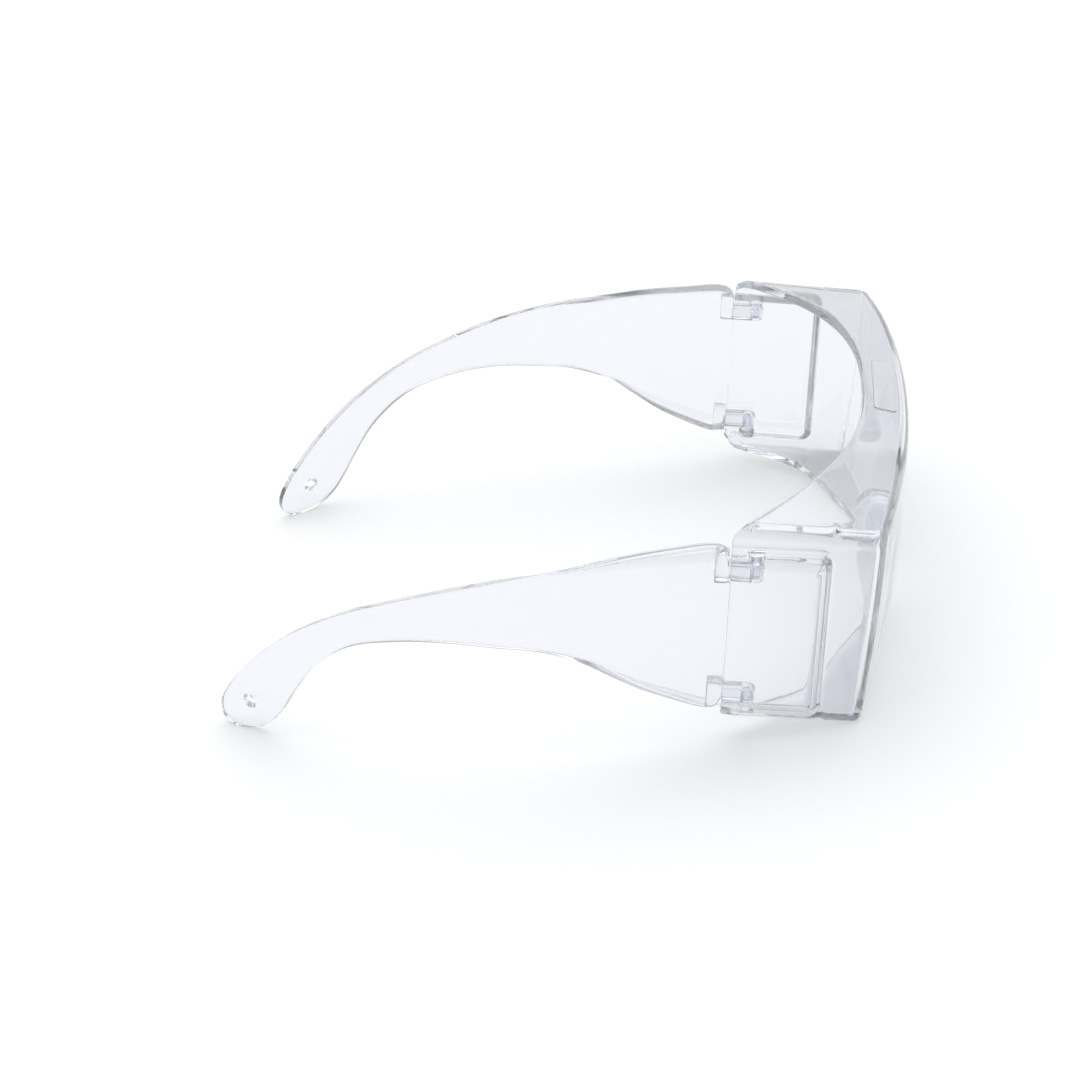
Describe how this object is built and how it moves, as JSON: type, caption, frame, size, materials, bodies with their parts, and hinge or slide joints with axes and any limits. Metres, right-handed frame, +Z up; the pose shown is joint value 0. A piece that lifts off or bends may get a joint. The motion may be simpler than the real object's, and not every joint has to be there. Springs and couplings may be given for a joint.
{
  "type": "safety glasses",
  "caption": "Clear wrap-around over-glasses with a brow shelf, moulded side shields and folding temples with cord holes at the tips.",
  "frame": {"origin": "on the table, under the middle of the bounding box of the open glasses", "axes": "+Z up, -Y towards the front of the lens, +X to the wearer's left; the front leans back 7.8 degrees as it stands on a table"},
  "size_m": [0.1476, 0.1622, 0.0524],
  "materials": {
    "clear_polycarbonate": "clear, polished moulding"
  },
  "bodies": {
    "front": {"front_moulding": "clear_polycarbonate"},
    "left_temple_arm": {"left_temple": "clear_polycarbonate", "left_upper_hinge_peg": "clear_polycarbonate", "left_lower_hinge_peg": "clear_polycarbonate"},
    "right_temple_arm": {"right_temple": "clear_polycarbonate", "right_upper_hinge_peg": "clear_polycarbonate", "right_lower_hinge_peg": "clear_polycarbonate"}
  },
  "joints": [
    {"name": "left_temple_fold", "type": "hinge", "parent": "front", "child": "left_temple_arm", "pos_m": [0.0681, -0.04284, 0.02489], "axis": [0, -0.1357, 0.9907], "range_deg": [0, 76]},
    {"name": "right_temple_fold", "type": "hinge", "parent": "front", "child": "right_temple_arm", "pos_m": [-0.0681, -0.04284, 0.02489], "axis": [0, 0.1357, -0.9907], "range_deg": [0, 88]}
  ]
}
